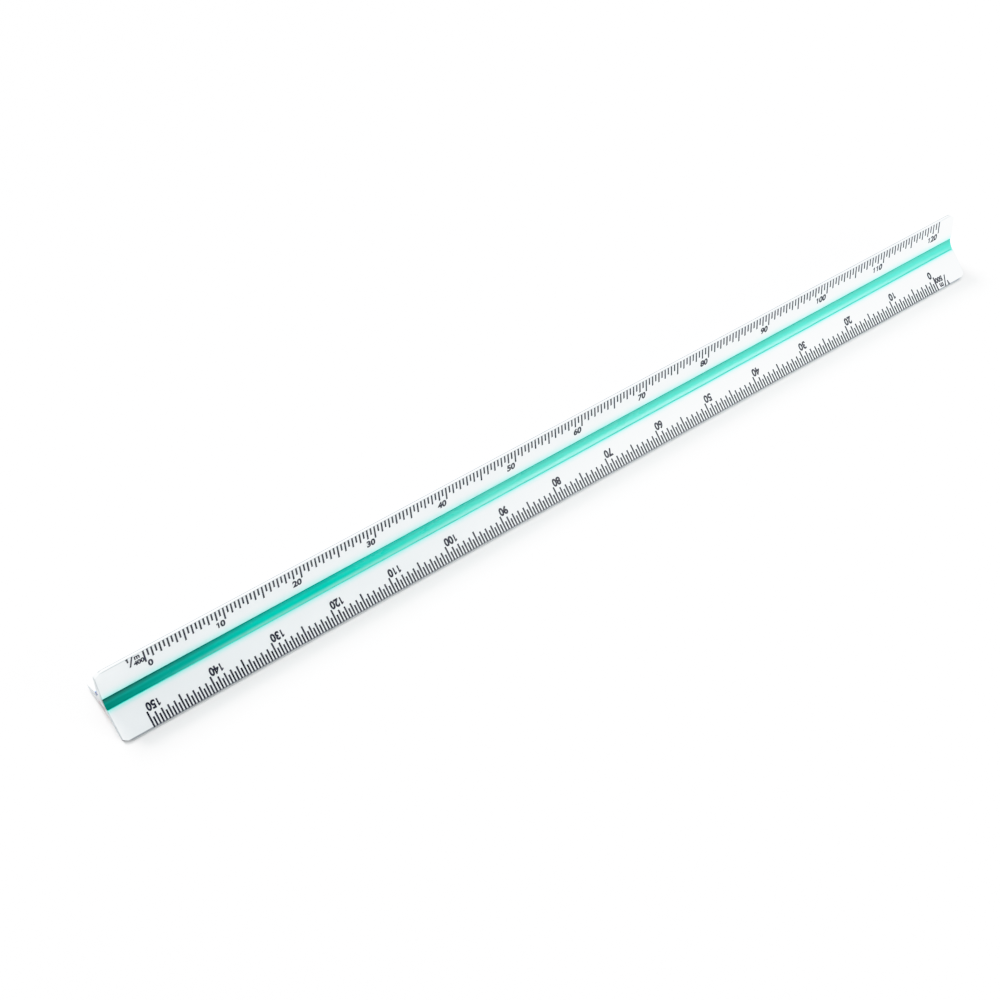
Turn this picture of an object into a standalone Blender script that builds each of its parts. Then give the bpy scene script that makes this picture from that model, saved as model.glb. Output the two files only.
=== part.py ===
"""Triangular scale ruler: a white three-armed body with a coloured inlay strip in each valley.

Metres, +Z up. The ruler lies along X and rests on the tips of two arms, with the third arm upright.
The origin is the middle of its underside: half way along, between the two resting tips.

A cross-section has three equal arms, 120 degrees apart. Each arm thins towards a narrow rounded tip,
and its two flat sides carry the scales. Between two arms runs a dovetail groove with chamfered lips,
and a strip lies in it, below the lips.
Section points are (y, z) pairs measured from the ruler's long axis.
"""

from math import atan2, cos, pi, radians, sin, sqrt, tan

import bmesh
import bpy
from mathutils import Vector

MM = 0.001

# Overall size
LENGTH = 322.0 * MM
WIDTH_ACROSS = 24.0 * MM

# Arms
ARM_COUNT = 3
ARM_STEP = 2 * pi / ARM_COUNT
FIRST_ARM = pi / 2
TIP_THICKNESS = 0.96 * MM
TIP_ROUND = 0.16 * MM
TIP_STEPS = 4

# Outer corners of each arm at both ends, and the small chamfer round each end face
END_ARC_RADIUS = 4.6 * MM
END_ARC_RUN = 3.5 * MM
END_ARC_STEPS = 7
END_CHAMFER = 0.15 * MM

# Valley between two arms, in the face's own axes: half widths across, and distances out from the axis
GROOVE_HALF_LIP = 2.23 * MM
GROOVE_LIP_OUT = 3.52 * MM
GROOVE_HALF_FLOOR = 2.00 * MM
GROOVE_FLOOR_OUT = 2.00 * MM
LIP_CHAMFER = 0.35 * MM

# Inlay strip: clearances in the groove, the step down from the chamfer's foot, and its hollow top
STRIP_SIDE_GAP = 0.12 * MM
STRIP_FLOOR_GAP = 0.20 * MM
STRIP_STEP = 0.06 * MM
STRIP_HOLLOW = 0.29 * MM
STRIP_TOP_STEPS = 10
STRIP_END_GAP = 0.12 * MM

STRIPS = {
    "inlay_green": {"face": FIRST_ARM + ARM_STEP / 2, "colour": (0.0, 0.47, 0.37)},
    "inlay_red": {"face": FIRST_ARM + ARM_STEP * 3 / 2, "colour": (0.62, 0.03, 0.03)},
    "inlay_blue": {"face": FIRST_ARM - ARM_STEP / 2, "colour": (0.02, 0.10, 0.50)},
}
BODY_COLOUR = (0.86, 0.88, 0.88)

REACH_CORRECTIONS = 20
SHARP_EDGE = radians(30)

# Worked out from the values above
HALF_STEP = ARM_STEP / 2
GROOVE_HALF_NECK = GROOVE_HALF_LIP - LIP_CHAMFER
GROOVE_NECK_OUT = GROOVE_LIP_OUT - LIP_CHAMFER


def on_arm(across, out):
    """A point of a groove's wall, from the face's axes to the next arm's: (along the arm, to its side)."""
    return across * sin(HALF_STEP) + out * cos(HALF_STEP), out * sin(HALF_STEP) - across * cos(HALF_STEP)


LIP_ALONG, LIP_SIDE = on_arm(GROOVE_HALF_LIP, GROOVE_LIP_OUT)


def arm_taper(reach):
    """Angle between an arm's side and the arm's middle plane, for a tip at this distance out."""
    return atan2(LIP_SIDE - TIP_THICKNESS / 2, reach - LIP_ALONG)


def tip_flat(reach, full_reach):
    """Half the flat land that the two rounds leave at a tip cut off at this distance out."""
    taper = arm_taper(full_reach)
    half_thickness = TIP_THICKNESS / 2 + (full_reach - reach + TIP_ROUND) * tan(taper)
    return half_thickness - TIP_ROUND / cos(taper)


def width_across(reach):
    """Overall width over two tips, for arms of this reach."""
    land = tip_flat(reach, reach)
    return 2 * ((reach - TIP_ROUND) * sin(HALF_STEP) + land * cos(HALF_STEP) + TIP_ROUND)


def find_reach():
    """Distance from the axis to a tip that gives the overall width, by repeated correction."""
    reach = WIDTH_ACROSS / 2 / sin(HALF_STEP)
    for _ in range(REACH_CORRECTIONS):
        reach += (WIDTH_ACROSS - width_across(reach)) / 2 / sin(HALF_STEP)
    return reach


ARM_REACH = find_reach()
TIP_LAND = tip_flat(ARM_REACH, ARM_REACH)
AXIS_HEIGHT = (ARM_REACH - TIP_ROUND) * cos(HALF_STEP) + TIP_LAND * sin(HALF_STEP) + TIP_ROUND


def arm_side(reach):
    """One side of an arm, from the groove's floor out to the tip, as (along, side) pairs."""
    taper = arm_taper(ARM_REACH)
    land = tip_flat(reach, ARM_REACH)
    points = [
        on_arm(GROOVE_HALF_FLOOR, GROOVE_FLOOR_OUT),
        on_arm(GROOVE_HALF_NECK, GROOVE_NECK_OUT),
        (LIP_ALONG, LIP_SIDE),
    ]
    for step in range(TIP_STEPS + 1):
        angle = (pi / 2 - taper) * (1 - step / TIP_STEPS)
        points.append((reach - TIP_ROUND + TIP_ROUND * cos(angle), land + TIP_ROUND * sin(angle)))
    return points


def section(reach):
    """The body's outline, anticlockwise, with the same number of points on each side of each arm."""
    side = arm_side(reach)
    arm = [(along, -across) for along, across in side]
    arm += [(along, across) for along, across in reversed(side)]
    outline = []
    for index in range(ARM_COUNT):
        angle = FIRST_ARM + index * ARM_STEP
        for along, across in arm:
            y = along * cos(angle) - across * sin(angle)
            z = along * sin(angle) + across * cos(angle)
            outline.append(Vector((y, z)))
    return outline


def shrink(outline, distance):
    """The outline moved inwards by a distance, corner by corner."""
    moved = []
    for index, point in enumerate(outline):
        before = (point - outline[index - 1]).normalized()
        after = (outline[(index + 1) % len(outline)] - point).normalized()
        normal_before = Vector((-before.y, before.x))
        normal_after = Vector((-after.y, after.x))
        mitre = (normal_before + normal_after) / (1 + normal_before.dot(normal_after))
        moved.append(point + mitre * distance)
    return moved


def corner_reach(distance_in):
    """Reach of an arm at a distance in from the end face, where the corner arc cuts it back."""
    left = max(END_ARC_RUN - distance_in, 0.0)
    return ARM_REACH - (END_ARC_RADIUS - sqrt(END_ARC_RADIUS**2 - left**2))


def body_stations():
    """(distance in from the end face, shrink of the outline there), from one end to the arc's end."""
    stations = [(0.0, END_CHAMFER), (END_CHAMFER, 0.0)]
    for step in range(1, END_ARC_STEPS + 1):
        swing = 1 - step / END_ARC_STEPS
        first = atan2(END_ARC_RUN - END_CHAMFER, sqrt(END_ARC_RADIUS**2 - (END_ARC_RUN - END_CHAMFER) ** 2))
        stations.append((END_ARC_RUN - END_ARC_RADIUS * sin(first * swing), 0.0))
    return stations


def ring(mesh, x, outline):
    """Vertices of one cross-section at x."""
    return [mesh.verts.new((x, point.x, point.y)) for point in outline]


def join_rings(mesh, first, second):
    """Side faces between two cross-sections."""
    for index in range(len(first)):
        following = (index + 1) % len(first)
        mesh.faces.new((first[index], first[following], second[following], second[index]))


def cap_body(mesh, verts):
    """End face of the body: a hexagonal core, and a row of faces along each arm."""
    per_arm = len(verts) // ARM_COUNT
    core = []
    for index in range(ARM_COUNT):
        arm = verts[index * per_arm:(index + 1) * per_arm]
        core += [arm[0], arm[-1]]
        for step in range(per_arm // 2 - 1):
            mesh.faces.new((arm[step], arm[step + 1], arm[-2 - step], arm[-1 - step]))
    mesh.faces.new(core)


def body_mesh():
    """White body: rings along the length, closer together where the corners are rounded."""
    near = body_stations()
    stations = [(-LENGTH / 2 + distance, distance, inset) for distance, inset in near]
    stations += [(LENGTH / 2 - distance, distance, inset) for distance, inset in reversed(near)]
    mesh = bmesh.new()
    rings = []
    for x, distance, inset in stations:
        outline = section(corner_reach(distance))
        if inset:
            outline = shrink(outline, inset)
        rings.append(ring(mesh, x, outline))
    for first, second in zip(rings, rings[1:]):
        join_rings(mesh, first, second)
    cap_body(mesh, rings[0])
    cap_body(mesh, rings[-1])
    return mesh


def strip_outline():
    """A strip's outline in the face's own axes: (across, out), anticlockwise from the floor."""
    floor_out = GROOVE_FLOOR_OUT + STRIP_FLOOR_GAP
    edge_out = GROOVE_NECK_OUT - STRIP_STEP
    flare = (GROOVE_HALF_FLOOR - GROOVE_HALF_NECK) / (GROOVE_NECK_OUT - GROOVE_FLOOR_OUT)
    half_floor = GROOVE_HALF_FLOOR - STRIP_SIDE_GAP - flare * STRIP_FLOOR_GAP
    half_edge = GROOVE_HALF_NECK - STRIP_SIDE_GAP + flare * STRIP_STEP
    radius = (half_edge**2 + STRIP_HOLLOW**2) / (2 * STRIP_HOLLOW)
    centre_out = edge_out - STRIP_HOLLOW + radius
    half_angle = atan2(half_edge, radius - STRIP_HOLLOW)
    points = [(-half_floor, floor_out), (half_floor, floor_out)]
    for step in range(STRIP_TOP_STEPS + 1):
        angle = half_angle * (1 - 2 * step / STRIP_TOP_STEPS)
        points.append((radius * sin(angle), centre_out - radius * cos(angle)))
    return points


def strip_mesh(face_angle):
    """Inlay strip for the valley whose face looks along this angle."""
    outline = []
    for across, out in strip_outline():
        y = out * cos(face_angle) + across * sin(face_angle)
        z = out * sin(face_angle) - across * cos(face_angle)
        outline.append(Vector((y, z)))
    half_length = LENGTH / 2 - STRIP_END_GAP
    mesh = bmesh.new()
    first = ring(mesh, -half_length, outline)
    second = ring(mesh, half_length, outline)
    join_rings(mesh, first, second)
    for end in (first, second):
        cap_strip(mesh, end)
    return mesh


def cap_strip(mesh, verts):
    """End face of a strip: a fan from each floor corner, and one face between them."""
    left, right = verts[0], verts[1]
    top = verts[2:]
    middle = len(top) // 2
    for index in range(middle):
        mesh.faces.new((right, top[index], top[index + 1]))
    mesh.faces.new((left, right, top[middle]))
    for index in range(middle, len(top) - 1):
        mesh.faces.new((left, top[index], top[index + 1]))


def plastic(name, colour, roughness):
    """A plain moulded plastic."""
    material = bpy.data.materials.new(name)
    material.use_nodes = True
    shader = material.node_tree.nodes["Principled BSDF"]
    shader.inputs["Base Color"].default_value = (*colour, 1.0)
    shader.inputs["Roughness"].default_value = roughness
    shader.inputs["Metallic"].default_value = 0.0
    return material


def add_object(name, mesh, material, parent):
    """Turns a finished bmesh into a named object that follows its parent."""
    bmesh.ops.recalc_face_normals(mesh, faces=mesh.faces)
    data = bpy.data.meshes.new(name)
    mesh.to_mesh(data)
    mesh.free()
    data.materials.append(material)
    piece = bpy.data.objects.new(name, data)
    bpy.context.scene.collection.objects.link(piece)
    piece.parent = parent
    return piece


def shade(piece):
    """Smooth rounds, with the edges between flat faces kept sharp."""
    piece.data.shade_smooth()
    piece.data.set_sharp_from_angle(angle=SHARP_EDGE)


def main():
    for old in list(bpy.data.objects):
        bpy.data.objects.remove(old)

    axis = bpy.data.objects.new("ruler_axis", None)
    axis.location = (0.0, 0.0, AXIS_HEIGHT)
    bpy.context.scene.collection.objects.link(axis)

    body = add_object("scale_body", body_mesh(), plastic("white_plastic", BODY_COLOUR, 0.35), axis)
    shade(body)
    for name, strip in STRIPS.items():
        material = plastic(name + "_plastic", strip["colour"], 0.25)
        piece = add_object(name, strip_mesh(strip["face"]), material, axis)
        shade(piece)


main()
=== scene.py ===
"""Looks of the triangular scale ruler: printed scales, plastics, floor, lights and camera.

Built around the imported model, in its frame: metres, +X along the ruler, +Z up. Sizes named below are in
millimetres unless a comment says otherwise. Directions round the ruler's axis are in degrees from +Y: the
arms stand at 90, 210 and 330, and the faces between them look towards 30, 150 and 270.

A scale is drawn flat first, with x in its reading direction and y towards the arm's tip, then given the
thickness of ink and laid on its side of the arm.
"""

from functools import cache
from math import cos, radians, sin

import bmesh
import bpy
from mathutils import Matrix, Vector


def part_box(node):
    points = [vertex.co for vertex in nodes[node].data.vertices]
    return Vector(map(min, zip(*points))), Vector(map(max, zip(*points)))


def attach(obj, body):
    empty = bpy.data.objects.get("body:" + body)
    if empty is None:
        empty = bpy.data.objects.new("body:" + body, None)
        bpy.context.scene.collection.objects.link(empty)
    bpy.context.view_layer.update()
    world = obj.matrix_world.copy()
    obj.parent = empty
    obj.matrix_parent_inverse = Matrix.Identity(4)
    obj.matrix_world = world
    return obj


MM = 0.001

ARMS = (90, 210, 330)

# Printed scales
SCALE_LENGTH = 300.0
INK_THICKNESS = 0.012
INK_BED = 0.006
TICK_WIDTH = 0.56
TICK_START = 0.04
SHORT_TICK = 2.80
MIDDLE_TICK = 3.88
LONG_TICK = 4.85
DIGIT_TOP = 4.70
DIGIT_HEIGHT = 2.30
DIGIT_SQUEEZE = 0.87
DIGIT_GAP = 0.48
WELD_DISTANCE = 0.0005

# The built-in typeface, as shares of its size
FONT_CAP_HEIGHT = 0.69
FONT_ADVANCE = 0.50
FONT_BEARING = 0.03
FONT_BOLD = 0.050
FONT_STEPS = 4

# Figure 1, as shares of the type size: the stem's sides, and the flag's tip, its two heights and its join
ONE_STEM = (0.245, 0.305)
ONE_FLAG_TIP = 0.12
ONE_FLAG_HEIGHTS = (0.44, 0.585)
ONE_FLAG_JOIN = 0.525
ONE_TOP_INSET = 0.035

# Ratio label, from its scale's nought tick: left edge, base, height and boldness of each text, and the
# foot, head and half width of the fraction's slanted bar
RATIO_TEXT = (-3.40, -4.10, 1.65, 0.060)
UNIT_TEXT = (-2.95, -1.85, 1.80, FONT_BOLD)
ONE_TEXT = (-5.50, -1.68, 1.65, 0.095)
BAR_FOOT = (-4.65, -3.90)
BAR_HEAD = (-3.35, -0.10)
BAR_HALF = 0.26

# The six scales, by ratio. Start is in mm from the end where the scale begins. Step, middle, long and number
# are the scale's own units between ticks, longer ticks, longest ticks and numbers.
SCALES = {
    400: {"arm": 90, "face": 150, "start": 15.0, "step": 0.5, "middle": 1, "long": 5, "number": 10},
    500: {"arm": 210, "face": 150, "start": 12.5, "step": 0.5, "middle": 1, "long": 5, "number": 10},
    100: {"arm": 210, "face": 270, "start": 12.5, "step": 0.1, "middle": 0.5, "long": 1, "number": 1},
    200: {"arm": 330, "face": 270, "start": 12.5, "step": 0.2, "middle": 1, "long": 2, "number": 2},
    250: {"arm": 330, "face": 30, "start": 12.5, "step": 0.25, "middle": 1, "long": 5, "number": 5},
    300: {"arm": 90, "face": 30, "start": 12.5, "step": 0.5, "middle": 1, "long": 5, "number": 5},
}

# Below, a ramp is (from, to, level at from, level at to), with from and to in mm, and a grain is the number
# of noise grains in a metre on each axis.

# White plastic: its two cloud shades, the rubbed tips, and the grey of the painted shade on tip edges and on
# the ends
CLOUD_GRAIN = (22, 60, 60)
PATCH_GRAIN = (90, 90, 90)
DRAW_LINE_GRAIN = (6, 2600, 2600)
PEEL_GRAIN = (900, 900, 900)
WHITE_SHADES = ((0.735, 0.772, 0.786), (0.765, 0.800, 0.814))
WORN_GREY = (0.52, 0.54, 0.54)
WORN_SHARE = 0.30
WORN_DEPTH = 0.9
EDGE_SHADE_GREY = (0.25, 0.28, 0.30)
END_SHADE_SHARE = 0.50
END_SHADE_LINE = (0.32, 0.12)
TIP_SHADE_LINE = (0.50, 0.30)
TIP_SHADE_BACK = (0.05, 0.16, 0.0, 1.0)
TIP_SHADE_FRONT = (-0.16, -0.05, 0.40, 0.0)

# Painted reflected colour and shade of the strips on the white plastic beside each groove, and painted
# bounce light on the groove's walls. The slopes say how fast the painted colour dies away on a groove's two
# sides.
LIP_PAINTED_REFLECTION = {150: (0.25, 0.80, 0.74), 270: (0.80, 0.60, 0.60), 30: (0.58, 0.65, 0.80)}
WALL_PAINTED_BOUNCE = {150: (0.06, 0.88, 0.74), 270: (0.90, 0.10, 0.10), 30: (0.10, 0.30, 0.88)}
LIP_HALF_WIDTH = 2.2
LIP_SLOPES = (-1.6, 0.75)
LIP_FADE = (0.0, 2.8, 1.0, 0.0)
LIP_FADE_POWER = 2.5
LIP_OUT = (1.9, 2.3, 0.0, 0.66)
WALL_ACROSS = (2.00, 2.10, 1.0, 0.0)
WALL_OUT = (1.9, 2.1, 0.0, 1.0)

# Strips: the face each looks out of, and three shades of its colour: deep for painted shade, middle, and
# pale for painted light
STRIP_CLOUD_GRAIN = (35, 120, 120)
STRIP_LINE_GRAIN = (5, 1800, 1800)
STRIPS = {
    "inlay_green": (150, [(0.000, 0.20, 0.155), (0.001, 0.56, 0.44), (0.085, 0.62, 0.50)]),
    "inlay_red": (270, [(0.44, 0.010, 0.014), (0.58, 0.018, 0.020), (0.64, 0.040, 0.042)]),
    "inlay_blue": (30, [(0.008, 0.060, 0.34), (0.012, 0.085, 0.44), (0.030, 0.120, 0.50)]),
}
# Ramps along X of painted shade and light: the middle shade over the deep one (painted shade at the -X end),
# the pale shade over that (painted light towards +X), the painted highlight's two factors, and the painted
# shade along one side. The painted highlight starts at a share of the half width, and its colour is the pale
# shade with white mixed in.
END_SHADE_ALONG = (-160, -112, 0.0, 0.95)
LIGHT_GAIN_ALONG = (-90, -30, 0.0, 0.92)
HIGHLIGHT_SIDE_RISE = (-150, -115, 0.0, 0.9)
HIGHLIGHT_SIDE_FALL = (-80, -10, 1.0, 0.35)
HIGHLIGHT_SIDE_START = 0.30
HIGHLIGHT_SIDE_POWER = 1.3
HIGHLIGHT_SIDE_SHADE_SHARE = 0.80
HIGHLIGHT_SIDE_WHITE = 0.19
SHADE_SIDE_ALONG = (-161, -80, 0.8, 0.28)
SHADE_SIDE_GAIN = 1.4
SHADE_SIDE_DARKNESS = 0.35

# Printed ink, thick and thin
INK_GRAIN = (700, 700, 700)
INK_SHADES = ((0.012, 0.013, 0.022), (0.040, 0.042, 0.060))

# Floor: its mottle's grain and shades, half its side in metres, and how far it lies below the ruler
FLOOR_GRAIN = (14, 14, 14)
FLOOR_SHADES = ((0.80, 0.80, 0.80), (0.82, 0.82, 0.82))
FLOOR_HALF = 6.0
FLOOR_DROP = 0.02

# Lights, in metres and watts
LIGHTS = {
    "side_box": {"place": (0.40, -0.62, 0.36), "aim": (0.05, 0.0, 0.0), "size": (0.40, 0.30), "power": 4.2},
    "overhead_box": {"place": (0.05, 0.22, 1.20), "aim": (0.0, 0.0, 0.0), "size": (1.1, 1.0), "power": 8.7},
    "back_box": {"place": (-0.26, 1.00, 1.10), "aim": (0.0, 0.0, 0.0), "size": (0.60, 0.42), "power": 26.0},
}
WORLD_COLOUR = (0.97, 0.985, 1.0)
WORLD_HORIZON = 0.32
WORLD_ZENITH = 0.36
WORLD_ZENITH_HEIGHT = 0.7

# Camera, in metres and degrees, with its lens and sensor in mm
CAMERA_CLIP = (0.01, 20.0)
CAMERA_AT = Vector((-0.21625, -0.26159, 0.42366))
CAMERA_AIM = Vector((-0.02830, -0.00363, 0.00499))
CAMERA_ROLL = 1.35
CAMERA_LENS = 62.2
SENSOR = 36.0

# Picture contrast: pairs of scene light and display light, and the scene light that shows as white
RESPONSE = [
    (0.03, 0.005),
    (0.06, 0.030),
    (0.12, 0.108),
    (0.20, 0.20),
    (0.50, 0.50),
    (0.80, 0.80),
    (1.00, 0.93),
    (1.25, 0.985),
]
RESPONSE_WHITE = 1.6
ALL_CHANNELS_CURVE = 3


# --- Node helpers ---------------------------------------------------------------------------------


def new_material(name):
    material = bpy.data.materials.new(name)
    material.use_nodes = True
    return material, material.node_tree, material.node_tree.nodes["Principled BSDF"]


def node(tree, kind, settings=None, **inputs):
    """A node with its settings, and each input given a value or linked to an output."""
    made = tree.nodes.new(kind)
    for key, value in (settings or {}).items():
        setattr(made, key, value)
    for key, value in inputs.items():
        socket = made.inputs[int(key[1:])] if key[0] == "i" and key[1:].isdigit() else made.inputs[key]
        if isinstance(value, bpy.types.NodeSocket):
            tree.links.new(value, socket)
        else:
            socket.default_value = value
    return made


def stretched(tree, scale):
    """Object coordinates, scaled on each axis."""
    return node(tree, "ShaderNodeMapping", Vector=object_place(tree), Scale=scale).outputs["Vector"]


def noise(tree, scale, detail=3.0, roughness=0.5):
    """Noise from 0 to 1 whose grains have the given number per metre on each axis."""
    made = node(tree, "ShaderNodeTexNoise", Vector=stretched(tree, scale), Scale=1.0, Detail=detail)
    made.inputs["Roughness"].default_value = roughness
    return made.outputs["Fac"]


def remap(tree, value, low, high, to_low, to_high):
    made = node(tree, "ShaderNodeMapRange", Value=value)
    for key, number in (("From Min", low), ("From Max", high), ("To Min", to_low), ("To Max", to_high)):
        made.inputs[key].default_value = number
    return made.outputs["Result"]


def ramp(tree, value, levels):
    """A remap given as one of the ramps above: from and to in mm, then the level at each."""
    return remap(tree, value, levels[0] * MM, levels[1] * MM, levels[2], levels[3])


def blend_colours(tree, share, first, second):
    made = node(tree, "ShaderNodeMix", {"data_type": "RGBA"}, i0=share)
    for index, colour in ((6, first), (7, second)):
        if isinstance(colour, bpy.types.NodeSocket):
            tree.links.new(colour, made.inputs[index])
        else:
            made.inputs[index].default_value = (*colour, 1.0)
    return made.outputs[2]


def maths(tree, operation, first, second):
    return node(tree, "ShaderNodeMath", {"operation": operation}, i0=first, i1=second).outputs["Value"]


def vector_maths(tree, operation, first, second):
    return node(tree, "ShaderNodeVectorMath", {"operation": operation}, i0=first, i1=second)


def dot(tree, first, second):
    return vector_maths(tree, "DOT_PRODUCT", first, second).outputs["Value"]


def object_place(tree):
    return node(tree, "ShaderNodeTexCoord").outputs["Object"]


def x_of(tree, where):
    return node(tree, "ShaderNodeSeparateXYZ", Vector=where).outputs["X"]


def add_bump(tree, shader, height, strength, distance_mm):
    made = node(tree, "ShaderNodeBump", Height=height, Strength=strength, Distance=distance_mm * MM)
    tree.links.new(made.outputs["Normal"], shader.inputs["Normal"])


# --- Materials ------------------------------------------------------------------------------------


def outward(degrees):
    """Unit vector from the ruler's axis in a direction round it."""
    return Vector((0.0, cos(radians(degrees)), sin(radians(degrees))))


def sideways(degrees):
    """Unit vector across that direction, at right angles to it and to the ruler."""
    return Vector((0.0, sin(radians(degrees)), -cos(radians(degrees))))


def tip_seams(tree, offset, reach):
    """Mask of the painted shade: fine grey lines along the edges of each arm's tip. Offset is the place from
    the axis.
    """
    total = None
    for arm in ARMS:
        along = dot(tree, offset, outward(arm))
        side = dot(tree, offset, sideways(arm))
        outer = remap(tree, along, reach - TIP_SHADE_LINE[0] * MM, reach - TIP_SHADE_LINE[1] * MM, 0.0, 1.0)
        edge = maths(tree, "MAXIMUM", ramp(tree, side, TIP_SHADE_BACK), ramp(tree, side, TIP_SHADE_FRONT))
        shade_line = maths(tree, "MULTIPLY", outer, edge)
        total = shade_line if total is None else maths(tree, "MAXIMUM", total, shade_line)
    return total


def end_mask(tree, where, length):
    """1 on the two cut ends and on a fine line beside each."""
    from_middle = maths(tree, "ABSOLUTE", x_of(tree, where), 0.0)
    half = length / 2
    return remap(tree, from_middle, half - END_SHADE_LINE[0] * MM, half - END_SHADE_LINE[1] * MM, 0.0, 1.0)


def tint_by_strips(tree, offset, ends, colour):
    """Colour of the slightly translucent white plastic, with the strips' colours painted on it as light and
    shade.

    Each strip's colour is painted beside its groove as reflected colour and shade, less the further from the
    lip, and the groove's walls take a bright shade of it as painted bounce light, except at the ruler's
    ends.
    """
    for face, reflected_colour in LIP_PAINTED_REFLECTION.items():
        across = dot(tree, offset, sideways(face))
        out = dot(tree, offset, outward(face))
        before_lip = maths(tree, "ADD", across, LIP_HALF_WIDTH * MM)
        after_lip = maths(tree, "SUBTRACT", across, LIP_HALF_WIDTH * MM)
        before = maths(tree, "MULTIPLY", before_lip, LIP_SLOPES[0])
        after = maths(tree, "MULTIPLY", after_lip, LIP_SLOPES[1])
        beside = ramp(tree, maths(tree, "MAXIMUM", after, before), LIP_FADE)
        beside = maths(tree, "POWER", beside, LIP_FADE_POWER)
        near = maths(tree, "MULTIPLY", beside, ramp(tree, out, LIP_OUT))
        # painted reflected colour and shade of the strip beside its groove
        colour = blend_colours(tree, near, colour, reflected_colour)
        # painted bounce light: a bright shade of the strip's colour on the groove's walls
        wall = ramp(tree, maths(tree, "ABSOLUTE", across, 0.0), WALL_ACROSS)
        wall = maths(tree, "MULTIPLY", wall, ramp(tree, out, WALL_OUT))
        wall = maths(tree, "MULTIPLY", wall, maths(tree, "SUBTRACT", 1.0, ends))
        colour = blend_colours(tree, wall, colour, WALL_PAINTED_BOUNCE[face])
    return colour


def white_plastic(axis_height, reach, length):
    """Satin white plastic: faint draw lines along it, rubbed tips, and painted shade as fine grey lines at
    tips and ends.
    """
    material, tree, shader = new_material("white_plastic")
    where = object_place(tree)
    offset = vector_maths(tree, "SUBTRACT", where, (0.0, 0.0, axis_height)).outputs["Vector"]
    offset = vector_maths(tree, "MULTIPLY", offset, (0.0, 1.0, 1.0)).outputs["Vector"]
    out = node(tree, "ShaderNodeVectorMath", {"operation": "LENGTH"}, i0=offset).outputs["Value"]
    tips = remap(tree, out, reach - WORN_DEPTH * MM, reach, 0.0, 1.0)
    patches = remap(tree, noise(tree, PATCH_GRAIN, 4.0), 0.40, 0.70, 0.0, 1.0)
    worn = maths(tree, "MULTIPLY", tips, patches)
    clouds = remap(tree, noise(tree, CLOUD_GRAIN, 3.0), 0.3, 0.7, 0.0, 1.0)
    lines = noise(tree, DRAW_LINE_GRAIN, 2.0)
    ends = end_mask(tree, where, length)

    colour = blend_colours(tree, clouds, *WHITE_SHADES)
    colour = blend_colours(tree, maths(tree, "MULTIPLY", worn, WORN_SHARE), colour, WORN_GREY)
    # painted shade: fine grey lines along the edges of each tip
    colour = blend_colours(tree, tip_seams(tree, offset, reach), colour, EDGE_SHADE_GREY)
    colour = tint_by_strips(tree, offset, ends, colour)
    # painted shade on the two cut ends and on a fine line beside each
    colour = blend_colours(tree, maths(tree, "MULTIPLY", ends, END_SHADE_SHARE), colour, EDGE_SHADE_GREY)
    tree.links.new(colour, shader.inputs["Base Color"])

    rough = remap(tree, clouds, 0.0, 1.0, 0.30, 0.36)
    rough = maths(tree, "ADD", rough, maths(tree, "MULTIPLY", worn, 0.15))
    rough = maths(tree, "ADD", rough, remap(tree, lines, 0.35, 0.65, -0.03, 0.03))
    tree.links.new(rough, shader.inputs["Roughness"])

    peel = maths(tree, "MULTIPLY", noise(tree, PEEL_GRAIN, 2.0), 0.6)
    relief = maths(tree, "ADD", peel, maths(tree, "MULTIPLY", lines, 0.4))
    add_bump(tree, shader, relief, strength=0.25, distance_mm=0.01)
    shader.inputs["IOR"].default_value = 1.49
    shader.inputs["Subsurface Weight"].default_value = 0.30
    shader.inputs["Subsurface Radius"].default_value = (1.0, 1.0, 1.0)
    shader.inputs["Subsurface Scale"].default_value = 1.0 * MM
    return material


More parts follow.
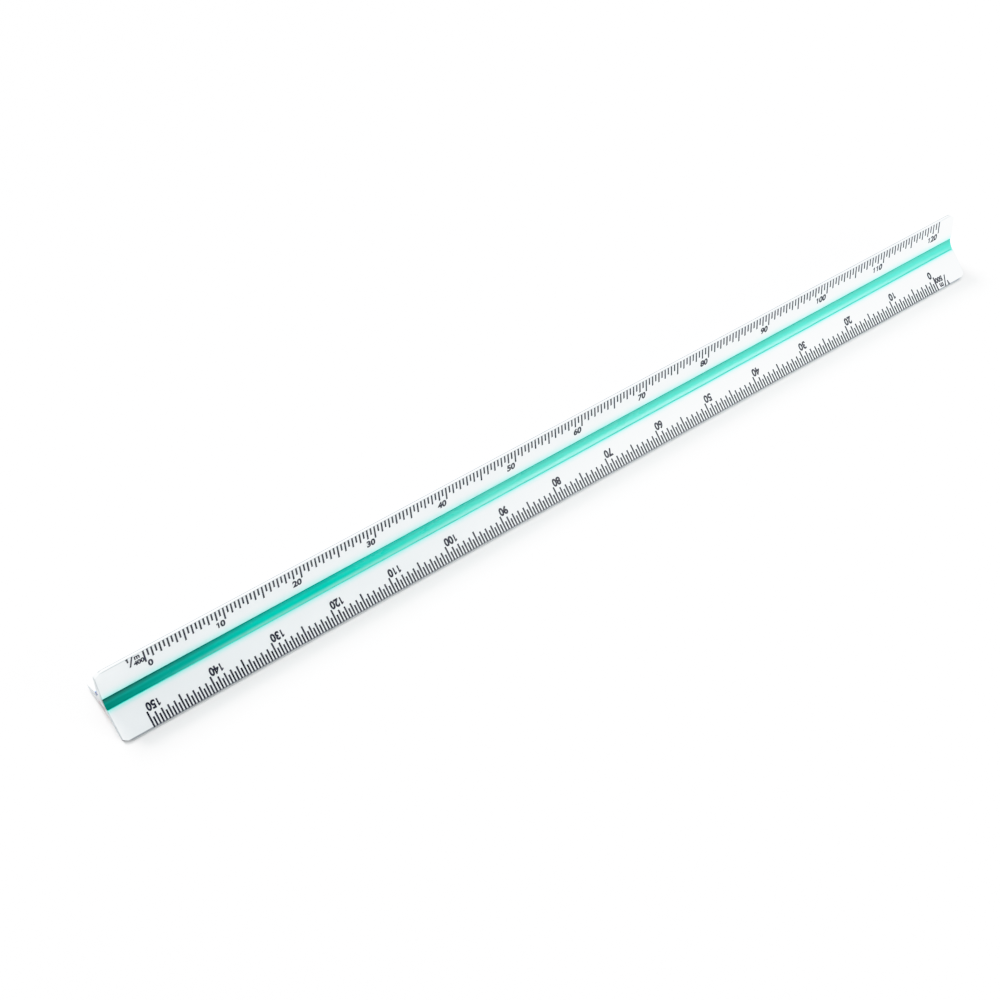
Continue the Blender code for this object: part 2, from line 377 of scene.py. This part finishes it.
def strip_plastic(name, shades, across, middle, brink):
    """Glossy coloured plastic with faint draw lines and slightly uneven dye.

    The colour has painted shade at the -X end and painted light towards the other end, painted shade along
    one side of the strip and a painted highlight along the other. Across points to the shaded side, and
    middle and brink are the places along it of the strip's middle and of that side's edge.
    """
    material, tree, shader = new_material(name)
    where = object_place(tree)
    along = x_of(tree, where)
    side = dot(tree, where, across)
    half = brink - middle
    lines = noise(tree, STRIP_LINE_GRAIN, 2.0)
    clouds = noise(tree, STRIP_CLOUD_GRAIN, 4.0)
    mixed = maths(tree, "ADD", maths(tree, "MULTIPLY", lines, 0.5), maths(tree, "MULTIPLY", clouds, 0.5))
    uneven = remap(tree, mixed, 0.35, 0.65, -0.10, 0.10)

    # painted shade at the -X end: the deep shade there gives way to the middle one
    share = maths(tree, "ADD", ramp(tree, along, END_SHADE_ALONG), uneven)
    colour = blend_colours(tree, share, shades[0], shades[1])
    # painted light: the pale shade takes over towards +X
    painted_brightening = maths(tree, "ADD", ramp(tree, along, LIGHT_GAIN_ALONG), maths(tree, "MULTIPLY", uneven, 0.8))
    colour = blend_colours(tree, painted_brightening, colour, shades[2])

    # painted highlight: a pale band, with white mixed in, along the side opposite to across
    painted_highlight = remap(tree, side, middle - HIGHLIGHT_SIDE_START * half, middle - half, 0.0, 1.0)
    painted_highlight = maths(tree, "POWER", painted_highlight, HIGHLIGHT_SIDE_POWER)
    painted_highlight = maths(tree, "MULTIPLY", painted_highlight, ramp(tree, along, HIGHLIGHT_SIDE_RISE))
    painted_highlight = maths(tree, "MULTIPLY", painted_highlight, ramp(tree, along, HIGHLIGHT_SIDE_FALL))
    highlight_colour = tuple(value * HIGHLIGHT_SIDE_SHADE_SHARE + HIGHLIGHT_SIDE_WHITE for value in shades[2])
    colour = blend_colours(tree, painted_highlight, colour, highlight_colour)

    # painted shade along the side that across points to, strongest towards the -X end
    painted_edge_shade = remap(tree, side, middle, brink, 0.0, SHADE_SIDE_GAIN)
    painted_edge_shade = maths(tree, "MULTIPLY", painted_edge_shade, ramp(tree, along, SHADE_SIDE_ALONG))
    edge_shade_colour = tuple(value * SHADE_SIDE_DARKNESS for value in shades[0])
    colour = blend_colours(tree, painted_edge_shade, colour, edge_shade_colour)
    tree.links.new(colour, shader.inputs["Base Color"])

    tree.links.new(remap(tree, clouds, 0.3, 0.7, 0.22, 0.30), shader.inputs["Roughness"])
    add_bump(tree, shader, mixed, strength=0.2, distance_mm=0.01)
    shader.inputs["IOR"].default_value = 1.44
    shader.inputs["Specular IOR Level"].default_value = 0.40
    return material


def ink():
    """Dark screen-printed ink, a little uneven where it went on thinner."""
    material, tree, shader = new_material("printed_ink")
    film = remap(tree, noise(tree, INK_GRAIN, 3.0), 0.35, 0.70, 0.0, 1.0)
    colour = blend_colours(tree, film, *INK_SHADES)
    tree.links.new(colour, shader.inputs["Base Color"])
    tree.links.new(remap(tree, film, 0.0, 1.0, 0.38, 0.55), shader.inputs["Roughness"])
    add_bump(tree, shader, film, strength=0.15, distance_mm=0.004)
    return material


def floor_material():
    """Plain white paper, with the slightest mottle."""
    material, tree, shader = new_material("floor_paper")
    mottle = noise(tree, FLOOR_GRAIN, 2.0)
    colour = blend_colours(tree, mottle, *FLOOR_SHADES)
    tree.links.new(colour, shader.inputs["Base Color"])
    shader.inputs["Roughness"].default_value = 0.9
    shader.inputs["Specular IOR Level"].default_value = 0.1
    return material


# --- Printed scales -------------------------------------------------------------------------------


def add_polygon(flat, points):
    flat.faces.new([flat.verts.new((x, y, 0.0)) for x, y in points])


def add_tick(flat, x, length):
    left, right = x - TICK_WIDTH / 2, x + TICK_WIDTH / 2
    add_polygon(flat, [(left, -length), (right, -length), (right, -TICK_START), (left, -TICK_START)])


def one_outline(bold):
    """Figure 1 with a flag, as shares of the type size, in the same box as the typeface's figures."""
    left, right = ONE_STEM[0] - bold, ONE_STEM[1] + bold
    tip = ONE_FLAG_TIP - bold
    underside, top = ONE_FLAG_HEIGHTS
    stem = [(left, 0.0), (right, 0.0), (right, FONT_CAP_HEIGHT), (left + ONE_TOP_INSET, FONT_CAP_HEIGHT)]
    return stem + [(tip, top), (tip, underside), (left, ONE_FLAG_JOIN)]


def typeface_faces(character, bold):
    """Flat faces of a character of the built-in typeface, as lists of (x, y) in shares of its size."""
    curve = bpy.data.curves.new("character", "FONT")
    curve.body = character
    curve.offset = bold
    curve.resolution_u = FONT_STEPS
    holder = bpy.data.objects.new("character", curve)
    bpy.context.scene.collection.objects.link(holder)
    bpy.context.view_layer.update()
    mesh = bpy.data.meshes.new_from_object(holder.evaluated_get(bpy.context.evaluated_depsgraph_get()))
    places = [(vertex.co.x, vertex.co.y) for vertex in mesh.vertices]
    faces = [[places[index] for index in polygon.vertices] for polygon in mesh.polygons]
    bpy.data.meshes.remove(mesh)
    bpy.data.objects.remove(holder)
    bpy.data.curves.remove(curve)
    return faces


@cache
def glyph(character, bold):
    return [one_outline(bold)] if character == "1" else typeface_faces(character, bold)


def add_text(flat, text, left, base, height, bold):
    """Text whose first character's box starts at left, standing on base."""
    size = height / FONT_CAP_HEIGHT
    advance = FONT_ADVANCE * size * DIGIT_SQUEEZE
    for index, character in enumerate(text):
        for face in glyph(character, bold):
            start = left + index * advance
            add_polygon(flat, [(start + x * size * DIGIT_SQUEEZE, base + y * size) for x, y in face])


def text_width(text, height):
    return len(text) * FONT_ADVANCE * height / FONT_CAP_HEIGHT * DIGIT_SQUEEZE


def add_number(flat, value, x):
    """A number beside its tick: before it, or after it for nought."""
    text = str(value)
    bearing = FONT_BEARING * DIGIT_HEIGHT / FONT_CAP_HEIGHT
    if value == 0:
        left = x + DIGIT_GAP - bearing
    else:
        left = x - DIGIT_GAP + bearing - text_width(text, DIGIT_HEIGHT)
    add_text(flat, text, left, -DIGIT_TOP - DIGIT_HEIGHT, DIGIT_HEIGHT, FONT_BOLD)


def add_ratio_label(flat, ratio, x):
    """The scale's ratio as a fraction, with m for metres above the lower figures, before the nought tick."""
    for text, (left, base, height, bold) in ((str(ratio), RATIO_TEXT), ("m", UNIT_TEXT), ("1", ONE_TEXT)):
        add_text(flat, text, x + left, base, height, bold)
    foot, low = BAR_FOOT
    head, high = BAR_HEAD
    ends = [(foot - BAR_HALF, low), (foot + BAR_HALF, low), (head + BAR_HALF, high), (head - BAR_HALF, high)]
    add_polygon(flat, [(x + place, height) for place, height in ends])


def thicken(flat):
    """Gives the flat print its thickness: from just under the plastic's surface to the ink's top."""
    bmesh.ops.remove_doubles(flat, verts=flat.verts, dist=WELD_DISTANCE)
    grown = bmesh.ops.extrude_face_region(flat, geom=list(flat.faces))
    top = [part for part in grown["geom"] if isinstance(part, bmesh.types.BMVert)]
    bmesh.ops.translate(flat, verts=top, vec=(0.0, 0.0, INK_BED + INK_THICKNESS))
    bmesh.ops.translate(flat, verts=flat.verts, vec=(0.0, 0.0, -INK_BED))
    bmesh.ops.recalc_face_normals(flat, faces=flat.faces)


def side_plane(sides, scale):
    """The arm side that a scale is printed on: it looks out of the scale's face, on the scale's arm."""
    arm = outward(scale["arm"])
    face = outward(scale["face"])
    return max(sides, key=lambda side: side["normal"].dot(face) - side["inward"].dot(arm))


def long_sides(body):
    """The six flat arm sides, the ruler's axis and its length.

    The sides are found by their size. Each has a point on its edge at the tip, its inward run and normal.
    """
    length = body.dimensions.x
    widest = max(polygon.area for polygon in body.data.polygons)
    groups = {}
    for polygon in body.data.polygons:
        if polygon.area > widest / 2:
            key = tuple(round(value, 2) for value in polygon.normal)
            groups.setdefault(key, set()).update(polygon.vertices)
    points = [body.data.vertices[index].co for group in groups.values() for index in group]
    axis = sum((Vector((0.0, point.y, point.z)) for point in points), Vector()) / len(points)
    sides = []
    for key, group in groups.items():
        places = [body.data.vertices[index].co for index in group]
        flat = [Vector((0.0, place.y, place.z)) for place in places]
        tip = max(flat, key=lambda point: (point - axis).length)
        root = min(flat, key=lambda point: (point - axis).length)
        inward = (root - tip).normalized()
        normal = Vector((0.0, -inward.z, inward.y))
        if normal.dot(Vector(key)) < 0:
            normal = -normal
        sides.append({"tip": tip, "inward": inward, "normal": normal})
    return sides, axis, length


def add_piece(name, flat, place, material):
    """One printed piece: the flat drawing given its thickness and laid in place on the ruler."""
    thicken(flat)
    flat.transform(place @ Matrix.Scale(MM, 4))
    data = bpy.data.meshes.new(name)
    flat.to_mesh(data)
    flat.free()
    data.materials.append(material)
    piece = bpy.data.objects.new(name, data)
    bpy.context.scene.collection.objects.link(piece)
    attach(piece, "root")


def print_scale(ratio, scale, sides, length, material):
    """One scale: its ticks as one piece, and its numbers and ratio label as another."""
    unit = 1000.0 / ratio
    count = round(SCALE_LENGTH / unit / scale["step"])
    steps_to = {name: round(scale[name] / scale["step"]) for name in ("middle", "long", "number")}
    ticks = bmesh.new()
    numbers = bmesh.new()
    for index in range(count + 1):
        x = scale["start"] + index * scale["step"] * unit
        if index % steps_to["long"] == 0:
            add_tick(ticks, x, LONG_TICK)
        elif index % steps_to["middle"] == 0:
            add_tick(ticks, x, MIDDLE_TICK)
        else:
            add_tick(ticks, x, SHORT_TICK)
        if index % steps_to["number"] == 0:
            add_number(numbers, round(index * scale["step"]), x)
    add_ratio_label(numbers, ratio, scale["start"])

    side = side_plane(sides, scale)
    reading = (-side["inward"]).cross(side["normal"])
    place = Matrix((reading, -side["inward"], side["normal"])).transposed().to_4x4()
    place.translation = side["tip"] - reading * length / 2
    add_piece(f"ticks_{ratio}", ticks, place, material)
    add_piece(f"numbers_{ratio}", numbers, place, material)


# --- Stage ----------------------------------------------------------------------------------------


def make_floor():
    data = bpy.data.meshes.new("floor")
    flat = bmesh.new()
    corners = ((-1, -1), (1, -1), (1, 1), (-1, 1))
    add_polygon(flat, [(x * FLOOR_HALF, y * FLOOR_HALF) for x, y in corners])
    flat.to_mesh(data)
    flat.free()
    data.materials.append(floor_material())
    floor = bpy.data.objects.new("floor", data)
    floor.location.z = -FLOOR_DROP * MM
    bpy.context.scene.collection.objects.link(floor)


def make_light(name, place, aim, size, power):
    """A rectangular soft box that looks at its aim."""
    light = bpy.data.lights.new(name, "AREA")
    light.shape = "RECTANGLE"
    light.size, light.size_y = size
    light.energy = power
    holder = bpy.data.objects.new(name, light)
    holder.location = place
    holder.rotation_euler = (Vector(aim) - Vector(place)).to_track_quat("-Z", "Y").to_euler()
    bpy.context.scene.collection.objects.link(holder)


def make_world():
    """Pale surroundings that brighten slightly from the horizon up."""
    world = bpy.data.worlds.new("studio")
    bpy.context.scene.world = world
    world.use_nodes = True
    tree = world.node_tree
    back = tree.nodes["Background"]
    where = node(tree, "ShaderNodeTexCoord").outputs["Generated"]
    up = node(tree, "ShaderNodeSeparateXYZ", Vector=where).outputs["Z"]
    level = remap(tree, up, 0.0, WORLD_ZENITH_HEIGHT, WORLD_HORIZON, WORLD_ZENITH)
    tree.links.new(level, back.inputs["Strength"])
    back.inputs["Color"].default_value = (*WORLD_COLOUR, 1.0)


def make_camera():
    data = bpy.data.cameras.new("camera")
    data.lens = CAMERA_LENS
    data.sensor_width = SENSOR
    data.clip_start, data.clip_end = CAMERA_CLIP
    camera = bpy.data.objects.new("camera", data)
    level = (CAMERA_AIM - CAMERA_AT).to_track_quat("-Z", "Y").to_matrix()
    turned = level @ Matrix.Rotation(radians(CAMERA_ROLL), 3, "Z")
    camera.matrix_world = Matrix.Translation(CAMERA_AT) @ turned.to_4x4()
    bpy.context.scene.collection.objects.link(camera)
    bpy.context.scene.camera = camera


def set_response(points, white):
    """Contrast of the finished picture: scene light to display light, with a soft shoulder up to white."""
    view = bpy.context.scene.view_settings
    view.view_transform = "Standard"
    view.use_curve_mapping = True
    curves = view.curve_mapping
    curve = curves.curves[ALL_CHANNELS_CURVE]
    curve.points[0].location = (0.0, 0.0)
    curve.points[1].location = (1.0, 1.0)
    for light, shown in points:
        curve.points.new(light / white, shown)
    curves.white_level = (white, white, white)
    curves.update()


# --- The scene ------------------------------------------------------------------------------------

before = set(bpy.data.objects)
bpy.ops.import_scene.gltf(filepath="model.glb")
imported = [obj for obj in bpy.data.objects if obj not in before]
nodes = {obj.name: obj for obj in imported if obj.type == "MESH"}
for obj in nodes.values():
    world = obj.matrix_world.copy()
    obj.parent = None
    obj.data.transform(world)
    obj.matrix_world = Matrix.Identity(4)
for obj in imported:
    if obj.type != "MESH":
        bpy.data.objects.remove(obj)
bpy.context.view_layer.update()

body = nodes["scale_body"]
sides, axis, length = long_sides(body)
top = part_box("scale_body")[1].z
reach = top - axis.z
body.data.materials.clear()
body.data.materials.append(white_plastic(axis.z, reach, length))

for name, (face, shades) in STRIPS.items():
    across = sideways(face)
    strip = nodes[name].data
    places = [vertex.co.dot(across) for vertex in strip.vertices]
    middle = (min(places) + max(places)) / 2
    strip.materials.clear()
    strip.materials.append(strip_plastic(name + "_plastic", shades, across, middle, max(places)))

ink_material = ink()
for ratio, scale in SCALES.items():
    print_scale(ratio, scale, sides, length, ink_material)

make_floor()
make_world()
for name, light in LIGHTS.items():
    make_light(name, **light)
make_camera()
set_response(RESPONSE, RESPONSE_WHITE)
